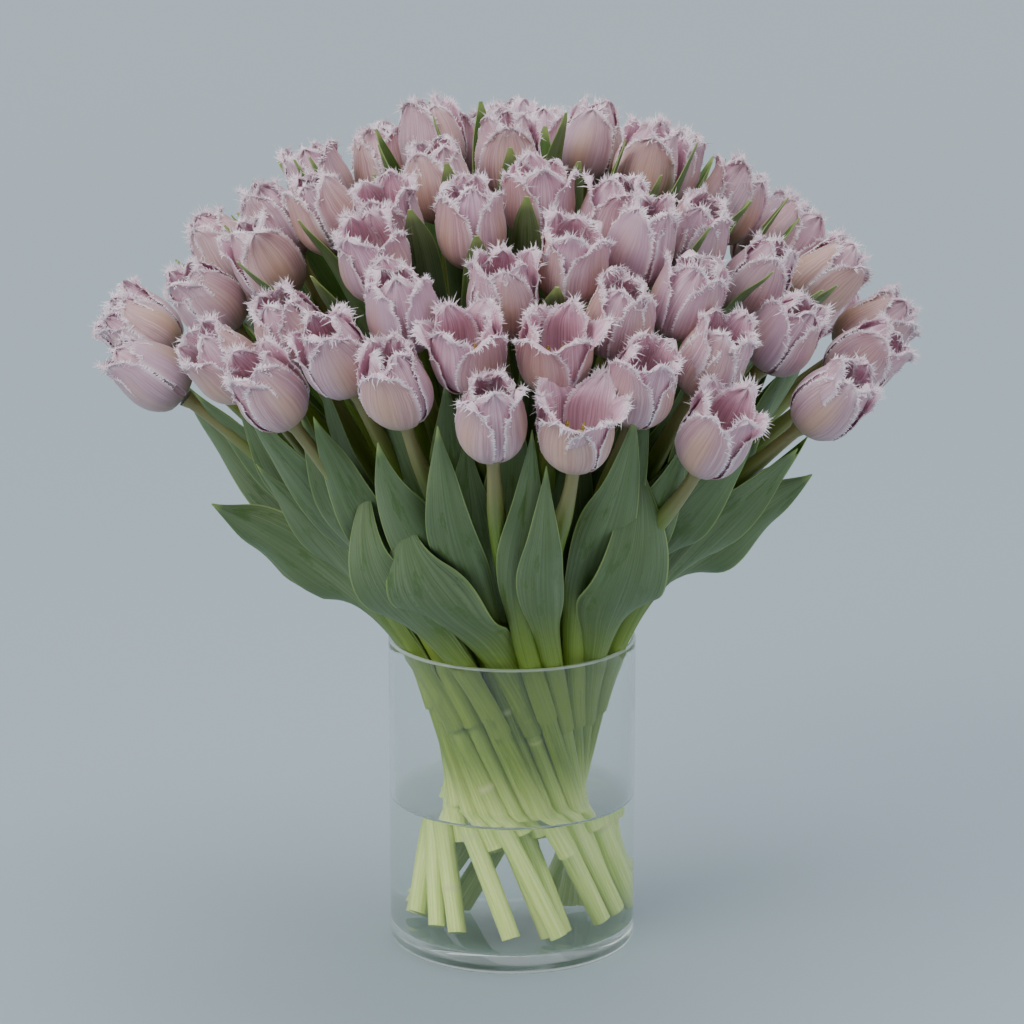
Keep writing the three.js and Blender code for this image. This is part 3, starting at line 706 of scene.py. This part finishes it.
def add_heart(piece, bloom, chance):
    """The pistil, a three-cornered column with a wide top, and six stamens with long anthers round it."""
    t = linspace(0, 1, 10)
    lobes = 1 + (0.1 + 0.3 * smooth(t, 0.75, 0.9))[:, None] * cos(3 * round_angles(PISTIL.sides))
    column = beside(0 * t, 0 * t, PISTIL.foot + PISTIL.height * t)
    points, quads, fans = round_rod(column, through(*PISTIL.girth, t)[:, None] * lobes, PISTIL.sides)
    up = clip(points[:, 2] / PISTIL.top, 0, 1)
    piece.add(into_world(bloom, points), quads, fans, finish=1, along=up, crystal=0)
    for k in range(STAMEN.count):
        turn = radians(360 * k / STAMEN.count + chance.uniform(-8, 8))
        out = STAMEN.ring + chance.uniform(2.0, 4.5) * t ** 1.5
        rise = STAMEN.foot + (STAMEN.filament + STAMEN.anther) * t
        path = beside(cos(turn) * out, sin(turn) * out, rise)
        points, quads, fans = round_rod(path, through(*STAMEN.girth, t), STAMEN.sides)
        up = concatenate([repeat(t, STAMEN.sides), [0, 1]])
        piece.add(into_world(bloom, points), quads, fans, finish=2, along=up, crystal=0)


# --- stems and leaves

HELD = Values(clear=0.4, slope=1.6)
# Lengths cut off the stems: a little off the long ones, and more off those of the middle and a share of the rest.
CUT = Values(inner=27, short_share=0.42, short=(62, 14), long=(3, 3))
LEAF = Values(rows=42, columns=13, thick=1.2, rim=0.45, sheath=7.6, sheath_fold=1.45, blade_fold=0.42, off=6.3,
              gap_off=5, ripple=0.11, rib=0.6, rib_width=0.1)
BREADTH_KNOTS = (0, 0.1, 0.2, 0.4, 0.56, 0.7, 0.82, 0.92, 1)
LEAF_BREADTH = (0.1, 0.18, 0.42, 0.9, 1, 0.88, 0.6, 0.28, 0.015)
BLUNT_BREADTH = (0.1, 0.18, 0.42, 0.84, 1, 0.97, 0.83, 0.6, 0.1)


def held_by_rim(points):
    """Points drawn in towards the axis where they would cross the glass wall, below and just over its rim."""
    inner = GLASS.radius - GLASS.wall - HELD.clear
    out = np.linalg.norm(points[..., :2], axis=-1)
    over = inner + maximum(points[..., 2] - GLASS.height - HELD.clear, 0) * HELD.slope
    share = np.minimum(1, over / maximum(out, 1e-9))
    return points * beside(share, share, ones(share.shape))


def stem_path(course, cut):
    """Points of one stem from its cut foot to its neck: a straight run, then the sweep out to the bloom."""
    low = linspace(cut / (course.top[2] - course.foot[2]), 1, 34)[:-1, None]
    sweep, _ = bezier(*course.sweep, linspace(0, 1, 26))
    return concatenate([course.foot * (1 - low) + course.top * low, sweep])


def add_stem(piece, course, number):
    """A round stem, thinner at the neck, with one or two pale swollen rings where leaves once grew.

    Stems of the bunch's middle, and some round it, were cut shorter and end a little under the water.
    """
    cut = near(*CUT.long, number + 850)
    if course.out < CUT.inner or stray(number + 840) < 2 * CUT.short_share - 1:
        cut = near(*CUT.short, number + 850)
    path = stem_path(course, cut)
    run = run_along(path)
    left = run - run[-1]
    radius = STEM.radius * near(1, STEM.radius_stray, number + 800)
    radii = radius + (STEM.neck - radius) * smooth(left, -60, -8) + STEM.cup * smooth(left, -6, 0)
    rings = near(*STEM.rings[0], number + 810), near(*STEM.rings[1], number + 820)
    ring = sum(exp(-((path[:, 2] - height) / STEM.ring_width) ** 2) for height in rings)
    points, quads, fans = round_rod(path, radii + STEM.ring_swell * ring, STEM.sides)
    turn = tile(round_angles(STEM.sides), len(run))

    def spread(values):
        return concatenate([repeat(values, STEM.sides), [values[0], values[-1]]])

    piece.add(held_by_rim(points), quads, fans, neck=spread(smooth(left, -80, -5)), ring=spread(ring),
              run=spread(run), round_x=np.append(cos(turn), [0, 0]), round_y=np.append(sin(turn), [0, 0]),
              tone=stray(number + 830))


def leaf_face(plan, across, along):
    """The middle surface of a leaf blade and the way each row faces.

    A cubic spine runs from the root to the tip. Each cross-section is an arc, folded deep near the root and
    flatter towards the tip, the blade rolls about its spine, and the margins ripple.
    """
    seed = plan.seed
    t = along[:, 0]
    span = np.linalg.norm(plan.tip - plan.root)
    middle, slope = bezier(plan.root, plan.root + plan.rise * BLADE_SPINE.rise * span,
                           plan.tip - plan.reach * BLADE_SPINE.droop * span, plan.tip, t)
    side = beside(-middle[:, 1], middle[:, 0], 0 * t)
    side = unit(cross(cross(side, slope), slope))
    out = unit(cross(slope, side))
    near_root = 1 - smooth(t, 0.04, 0.34)
    off_stem = LEAF.off * (1 - smooth(t, 0.4, 0.85)) if plan.lift else LEAF.gap_off * near_root
    middle = middle + out * (plan.lift * sin(pi * t * t) + off_stem)[:, None]
    turn = radians(plan.roll) * smooth(t, 0.2, 0.66)
    side, out = turned_about(side, slope, turn), turned_about(out, slope, turn)
    breadth = through(BREADTH_KNOTS, LEAF_BREADTH if plan.lift else BLUNT_BREADTH, t)
    half = (plan.width / 2 * breadth + LEAF.sheath * near_root)[:, None]
    fold = LEAF.blade_fold + (LEAF.sheath_fold - LEAF.blade_fold) * (1 - smooth(along, 0.06, 0.55))
    aside = half * sin(fold * across) / fold
    sink = half * (1 - cos(fold * across)) / fold
    swing = 2 * pi * along
    amount = plan.width * LEAF.ripple * smooth(along, 0.2, 0.5) * smooth(1 - along, 0, 0.25)
    left = sin(swing * near(1.8, 0.5, seed + 900) + 3 * stray(seed + 910))
    right = sin(swing * near(1.9, 0.5, seed + 920) + 3 * stray(seed + 930))
    ripple = amount * np.abs(across) ** 2 * where(across < 0, left, right)
    curl = near(2, 4, seed + 940) * smooth(along, 0.8, 1) ** 2
    depth = ripple - sink + curl - LEAF.rib * exp(-(across / LEAF.rib_width) ** 2) * smooth(1 - along, 0, 0.3)
    return middle[:, None] - side[:, None] * aside[..., None] + out[:, None] * depth[..., None], out


def add_leaf(piece, plan):
    """A leaf as a closed sheet, thinner towards its margins and tip."""
    u, v = np.meshgrid(linspace(-1, 1, LEAF.columns), linspace(0, 1, LEAF.rows) ** 0.9)
    face, out = leaf_face(plan, u, v)
    thick = LEAF.rim + (LEAF.thick - LEAF.rim) * (1 - u * u) * (1 - 0.5 * v)
    points, quads = thickened(held_by_rim(face), thick, lambda middle: out[middle[0]], 0.5)
    piece.add(points, quads, **both_faces(u, v), tone=stray(plan.seed + 950))


# --- glass and water


def vase_piece(*finishes):
    """The vase: a tube wall with a rounded rim, a thick floor with a shallow hollow under it, and rounded edges."""
    radius, wall, floor = GLASS.radius, GLASS.wall, GLASS.floor
    foot, heel, height = GLASS.foot_round, GLASS.heel_round, GLASS.height
    inner = radius - wall
    under = linspace(8, radius - foot - 1, 14)
    hollow = HOLLOW.depth * (1 - smooth(under, HOLLOW.flat, HOLLOW.edge))
    points, quads, fans = lathe([
        [(0, HOLLOW.depth)], beside(under, hollow),
        arc(radius - foot, foot, foot, -90, 0, 9),
        line((radius, foot + 6), (radius, height - 6), 10),
        arc(radius - wall / 2, height - wall / 2, wall / 2, 0, 180, 11),
        line((inner, height - 6), (inner, floor + heel + 5), 10),
        arc(inner - heel, floor + heel, heel, 0, -90, 8),
        line((inner - heel - 4, floor), (8, floor), 8), [(0, floor)],
    ], GLASS.sides)
    piece = Piece("glass_vase")
    piece.add(points, quads, fans)
    # The faces of the rim's top band take the second finish, a painted highlight.
    piece.quad_finish[-1] = (points[quads][..., 2].min(axis=1) > height - GLASS.rim_band).astype(int)
    return piece.finished(*finishes)


def water_piece(finish, waists):
    """The water: its level rises in a small curve at the glass and at each stem."""
    wet = GLASS.radius - GLASS.wall + WATER.overlap
    bottom, level, heel = GLASS.floor - WATER.overlap, WATER.height, GLASS.heel_round
    points, quads, fans = lathe([
        [(0, bottom)], line((6, bottom), (wet - heel - 4, bottom), 6),
        arc(wet - heel, bottom + heel, heel, -90, 0, 8),
        line((wet, bottom + heel + 6), (wet, level - 3), 8),
        line((wet, level), (wet - 7, level), 15), line((wet - 8, level), (1, level), 62), [(0, level)],
    ], WATER.sides)
    stems = array([straight_point(waist, level)[:2] for waist in waists])
    top = points[:, 2] >= level - 1e-6
    xy = points[top, :2]
    to_stem = np.min(np.linalg.norm(xy[:, None] - stems[None], axis=-1), axis=1) - STEM.radius
    to_wall = wet - np.linalg.norm(xy, axis=1)
    rise = WATER.wall_rise * exp(-to_wall / WATER.wall_fade)
    points[top, 2] += rise + WATER.stem_rise * exp(-maximum(to_stem, 0) / WATER.stem_fade)
    piece = Piece("vase_water")
    piece.add(points, quads, fans)
    return piece.finished(finish)


# --- materials


def tint(red, green, blue):
    """A screen colour of 0 to 255 as the linear colour that the shaders take."""
    share = array([red, green, blue]) / 255
    linear = where(share <= 0.04045, share / 12.92, ((share + 0.055) / 1.055) ** 2.4)
    return (*[float(c) for c in linear], 1.0)


class Finish:
    """A procedural material or sky in the making: each call adds nodes and gives the last one's output."""

    def __init__(self, name, kind="materials"):
        self.owner = getattr(bpy.data, kind).new(name)
        self.owner.use_nodes = True
        self.tree = self.owner.node_tree
        self.tree.nodes.clear()

    def add(self, kind, values, output=0, **settings):
        node = self.tree.nodes.new("ShaderNode" + kind)
        for key, value in settings.items():
            setattr(node, key, value)
        for key, value in values.items():
            if isinstance(value, bpy.types.NodeSocket):
                self.tree.links.new(value, node.inputs[key])
            elif value is not None:
                node.inputs[key].default_value = value
        return node.outputs[output]

    def notes(self, names):
        return [self.add("Attribute", {}, "Fac", attribute_name=name) for name in names.split()]

    def place(self):
        return self.add("TexCoord", {}, "Object")

    def sum(self, operation, a, b=None):
        return self.add("Math", {0: a, 1: b}, operation=operation)

    def times(self, value, *shares):
        for share in shares:
            value = self.sum("MULTIPLY", value, share)
        return value

    def ease(self, value, low, high, start=0.0, end=1.0, step="SMOOTHSTEP"):
        """start below low, end above high, and a smooth step between."""
        values = {"Value": value, "From Min": low, "From Max": high, "To Min": start, "To Max": end}
        return self.add("MapRange", values, interpolation_type=step)

    def joined(self, x, y, z):
        return self.add("CombineXYZ", {0: x, 1: y, 2: z})

    def noise(self, vector, scale, detail=3.0, roughness=0.5):
        return self.add("TexNoise", {"Vector": vector, "Scale": scale, "Detail": detail, "Roughness": roughness})

    def stretched(self, parts, stretch, *shape):
        """Noise over three numbers, each times its own stretch."""
        return self.noise(self.joined(*map(self.times, parts, stretch)), *shape)

    def blend(self, share, a, b):
        """Colour a where share is 0 and b where it is 1. A colour is an output or a screen colour."""
        a, b = (tint(*colour) if isinstance(colour, tuple) else colour for colour in (a, b))
        return self.add("Mix", {0: share, 6: a, 7: b}, 2, data_type="RGBA")

    def over(self, under, *layers):
        """Colours laid over one another, each by the share to which its value is eased."""
        for colour, value, *shape in layers:
            under = self.blend(self.ease(value, *shape), under, colour)
        return under

    def bump(self, height, strength, distance):
        return self.add("Bump", {"Height": height, "Strength": strength, "Distance": distance})

    def skin(self, **values):
        named = {key.replace("_", " ").title().replace("Ior", "IOR"): value for key, value in values.items()}
        return self.add("BsdfPrincipled", named, "BSDF")

    def close(self, shader, kind="Material"):
        self.tree.links.new(shader, self.tree.nodes.new("ShaderNodeOutput" + kind).inputs["Surface"])
        return self.owner


def petal_finish():
    """Dusty mauve petals: fine fanning veins, a beige stripe up the back, a deeper inside and a pale fringe."""
    f = Finish("petal_mauve")
    u, v, tone, inside, inner, stripe, crystal = f.notes("across along tone inside inner stripe crystal")
    off_middle = f.sum("ABSOLUTE", u)
    streaks = f.stretched((u, v, tone), (11.0, 0.8, 9.0), 1.6, 4.0, 0.65)
    shade = f.ease(streaks, 0.36, 0.64)
    lilac = f.sum("ADD", tone, f.times(f.noise(f.place(), 55.0, 2.0), 1.2))
    body = f.blend(shade, (168, 122, 130), (212, 174, 176))
    body = f.over(body, ((188, 156, 178), lilac, -0.2, 1.6, 0, 0.75), ((198, 156, 138), tone, -0.9, 0.1, 0.5, 0))
    band = f.times(f.ease(off_middle, 0.08, 0.62, 1, 0), f.ease(v, 0.55, 0.98, 1, 0), stripe,
                   f.ease(streaks, 0.2, 0.7, 0.55, 1))
    body = f.blend(f.times(band, 0.78), body, (194, 154, 122))
    # Darker tan towards the root: partly the petal's own colour there, partly painted shade at the bottom of the cup.
    body = f.over(body, ((138, 118, 98), v, 0.02, 0.48, 0.9, 0))
    body = f.blend(f.times(inner, 0.7), body, f.blend(shade, (190, 146, 162), (224, 188, 204)))
    lining = f.blend(shade, (190, 142, 160), (224, 182, 198))
    lining = f.over(lining, ((196, 186, 140), v, 0.05, 0.3, 0.8, 0))
    margin = f.sum("MAXIMUM", f.ease(off_middle, 0.84, 1.0), f.ease(v, 0.88, 1.0))
    margin = f.times(margin, f.ease(v, 0.3, 0.6), 0.66)
    colour = f.blend(margin, f.blend(inside, body, lining), (238, 212, 222))
    colour = f.over(colour, ((252, 236, 244), crystal, 0.1, 0.9))
    return f.close(f.skin(
        base_color=colour, roughness=0.5, normal=f.bump(streaks, 0.35, 0.0006), sheen_weight=0.12,
        sheen_roughness=0.5, subsurface_weight=0.22, subsurface_radius=(1.0, 0.6, 0.7), subsurface_scale=0.003))


def pistil_finish():
    """A pale green pistil with a cream top."""
    f = Finish("pistil_green")
    grain = f.noise(f.place(), 700.0)
    colour = f.over((168, 182, 116), ((226, 220, 168), *f.notes("along"), 0.6, 0.9),
                    ((140, 158, 90), grain, 0.4, 0.7, 0, 0.3))
    return f.close(f.skin(base_color=colour, roughness=0.5, normal=f.bump(grain, 0.2, 0.0003)))


def stamen_finish():
    """Pale filaments with mealy yellow-brown anthers."""
    f = Finish("stamen_yellow")
    meal = f.noise(f.place(), 1400.0)
    anther = f.over((150, 128, 64), ((206, 184, 96), meal, 0.4, 0.65))
    colour = f.over((206, 208, 160), (anther, *f.notes("along"), 0.46, 0.56))
    return f.close(f.skin(base_color=colour, roughness=0.75, normal=f.bump(meal, 0.5, 0.0004)))


def leaf_finish():
    """Waxy grey-green leaves: fine veins along the blade, rubbed greener patches and yellow-green margins."""
    f = Finish("leaf_glaucous")
    u, v, tone, inside = f.notes("across along tone inside")
    blade = (u, v, tone)
    veins = f.stretched(blade, (26.0, 1.3, 7.0), 1.0, 3.0, 0.6)
    broad = f.stretched(blade, (1.6, 2.5, 8.0), 1.0, 2.0)
    rubbed = f.stretched(blade, (2.2, 6.0, 23.0), 1.0, 5.0, 0.66)
    flecks = f.stretched(blade, (14.0, 20.0, 1.0), 1.0, 4.0, 0.7)
    wax = f.over((92, 110, 70), ((122, 140, 96), veins, 0.34, 0.66), ((94, 116, 68), broad, 0.35, 0.7, 0, 0.6),
                 ((76, 106, 36), rubbed, 0.54, 0.64, 0, 0.8), ((62, 84, 42), flecks, 0.6, 0.7, 0, 0.45))
    fresh = f.over((52, 88, 26), ((88, 122, 44), veins, 0.34, 0.66))
    root = f.over((104, 132, 22), ((144, 164, 50), veins, 0.3, 0.7))
    colour = f.over(f.blend(inside, wax, fresh), (root, v, 0.08, 0.46, 0.95, 0),
                    ((72, 98, 46), f.sum("ADD", tone, broad), 0.5, 1.4, 0, 0.25))
    margin = f.sum("MAXIMUM", f.ease(f.sum("ABSOLUTE", u), 0.93, 0.99), f.ease(v, 0.955, 0.995))
    colour = f.blend(f.times(margin, 0.7), colour, (154, 174, 98))
    return f.close(f.skin(
        base_color=colour, roughness=f.ease(rubbed, 0.45, 0.7, 0.56, 0.4), normal=f.bump(veins, 0.3, 0.0006),
        subsurface_weight=0.08, subsurface_radius=(0.5, 1.0, 0.3), subsurface_scale=0.002))


def stem_finish():
    """Round stems: tan under the bloom, fresh green below, with pale rings. Below the water line they are painted
    paler: painted light for the light that the water scatters round them.
    """
    f = Finish("stem_green")
    neck, ring, tone, run, round_x, round_y = f.notes("neck ring tone run round_x round_y")
    height = f.add("SeparateXYZ", {0: f.place()}, "Z")
    fibres = f.joined(f.times(round_x, 5.0), f.times(round_y, 5.0), f.times(run, 0.022))
    fibres = f.add("VectorMath", {0: fibres, 1: f.joined(tone, 0.0, f.times(tone, 9.0))}, operation="ADD")
    grain = f.noise(fibres, 1.0, 3.0, 0.55)
    # Paler stem colours for below the water line: painted light, standing in for the light that the water scatters
    # round the stems.
    pale = f.over((200, 222, 112), ((228, 240, 152), grain, 0.35, 0.65))
    colour = f.over((102, 130, 20), ((134, 156, 42), grain, 0.35, 0.65), ((146, 170, 84), tone, -0.6, 1.0, 0, 0.4),
                    (pale, height, 0.075, 0.13, 1, 0), ((88, 112, 50), height, 0.2, 0.32, 0, 0.5))
    colour = f.blend(f.times(neck, 0.85), colour, (138, 124, 84))
    colour = f.over(colour, ((208, 210, 148), ring, 0.3, 0.95, 0, 0.6))
    return f.close(f.skin(
        base_color=colour, roughness=0.42, normal=f.bump(grain, 0.2, 0.0004),
        subsurface_weight=0.15, subsurface_radius=(0.6, 1.0, 0.3), subsurface_scale=0.004))


def clear_finish(name, colour, ior, dim):
    """A clear body. Shadow rays and rays that have met many faces pass it straight, only dimmed."""
    f = Finish(name)
    clear = f.skin(base_color=colour, roughness=0.0, ior=ior, transmission_weight=1.0)
    passing = f.add("BsdfTransparent", {"Color": dim})
    shadow = f.add("LightPath", {}, "Is Shadow Ray")
    deep = f.sum("GREATER_THAN", f.add("LightPath", {}, "Ray Depth"), 4.5)
    return f.close(f.add("MixShader", {0: f.sum("MAXIMUM", shadow, deep), 1: clear, 2: passing}))


def painted_rim_highlight():
    """A pale band at the rim of the glass: a painted highlight, whitish and partly opaque, that stands in for the
    light that the rounded rim reflects as a pale line.
    """
    f = Finish("glass_rim_painted_highlight")
    return f.close(f.skin(base_color=tint(226, 236, 226), roughness=0.12, ior=1.5, transmission_weight=0.6))


def floor_finish():
    """A plain pale matt floor, painted a little paler far off, where less lamp light falls: painted light in place of
    a lamp there.
    """
    f = Finish("floor_pale")
    far = f.add("VectorMath", {0: f.place()}, "Value", operation="LENGTH")
    return f.close(f.skin(base_color=f.over((161, 177, 186), ((214, 228, 236), far, 0.5, 4.5)), roughness=0.7))


# --- stage, light and camera


def stage_floor():
    """A wide flat disc at the height that the vase stands on."""
    angles = round_angles(FLOOR.sides)
    rim = beside(FLOOR.radius * cos(angles), FLOOR.radius * sin(angles), 0 * angles - FLOOR.drop)
    mesh = bpy.data.meshes.new("studio_floor")
    mesh.from_pydata(rim.tolist(), [], [list(range(FLOOR.sides))])
    mesh.materials.append(floor_finish())
    floor = in_scene("studio_floor", mesh)


def studio():
    """A sky that is brighter higher up, and square lamps turned to the bunch."""
    f = Finish("soft_sky", "worlds")
    up = f.add("SeparateXYZ", {0: f.add("TexCoord", {}, "Generated")}, "Z")
    climb = f.ease(up, -0.1, 0.75, 0.38, 1.05, "LINEAR")
    sky = f.add("Background", {"Color": tint(214, 220, 226), "Strength": climb})
    bpy.context.scene.world = f.close(sky, "World")
    for name, place, size, power, colour in LAMPS:
        lamp = bpy.data.lights.new(name, "AREA")
        lamp.size, lamp.energy, lamp.color = size, power, colour
        holder = in_scene(name, lamp)
        way = unit(LAMP_TARGET - array(place))
        holder.location = place
        holder.rotation_euler = (math.acos(-way[2]), 0, math.atan2(way[1], way[0]) - math.pi / 2)


def camera():
    """The photograph's view: far off, a long lens, looking a little down."""
    lens = bpy.data.cameras.new("photo_view")
    lens.lens, lens.sensor_width, lens.clip_end = CAMERA.lens, CAMERA.sensor, CAMERA.farthest
    holder = in_scene("photo_view", lens)
    holder.location = (0, -CAMERA.away * MM, CAMERA.height * MM)
    holder.rotation_euler = (math.radians(90 - CAMERA.down), 0, 0)
    bpy.context.scene.camera = holder


# --- putting it together


def stand_for(piece, slot, *nodes):
    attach(piece, "root")
    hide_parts(*nodes)


def make_blooms(blooms):
    finishes = (petal_finish(), pistil_finish(), stamen_finish())
    for node in dict.fromkeys(bloom.node for bloom in blooms):
        piece = Piece(f"tulip_{node}")
        for number, bloom in enumerate(blooms):
            if bloom.node == node:
                chance = np.random.default_rng(BLOOM.first_seed + number)
                add_petals(piece, bloom, number, chance)
                add_heart(piece, bloom, chance)
        stand_for(piece.finished(*finishes), "petals", node)


def make_greenery(blooms, waists, courses):
    stems = Piece("tulip_stems")
    for number, course in enumerate(courses):
        add_stem(stems, course, number)
    stand_for(stems.finished(stem_finish()), "green", "stems_and_leaves")
    leaf_skin = leaf_finish()
    for name, plans in (("outer_leaves", outer_leaf_plans(blooms, waists)),
                        ("skirt_leaves", skirt_leaf_plans(blooms, waists)),
                        ("gap_leaves", gap_leaf_plans(blooms, courses))):
        leaves = Piece(name)
        for plan in plans:
            add_leaf(leaves, plan)
        stand_for(leaves.finished(leaf_skin), "green", "stems_and_leaves")


def main():
    camera()
    studio()
    stage_floor()
    blooms = placed_blooms()
    waists = waist_spots(blooms)
    courses = [stem_course(waist, bloom) for waist, bloom in zip(waists, blooms)]
    make_blooms(blooms)
    make_greenery(blooms, waists, courses)
    glass = clear_finish("clear_glass", (0.942, 0.954, 0.938, 1), 1.5, (0.92, 0.935, 0.92, 1))
    water = clear_finish("clear_water", (0.985, 0.995, 0.985, 1), 1.333, (0.97, 0.985, 0.97, 1))
    stand_for(vase_piece(glass, painted_rim_highlight()), "glass", "vase")
    stand_for(water_piece(water, waists), "water", "water")


main()
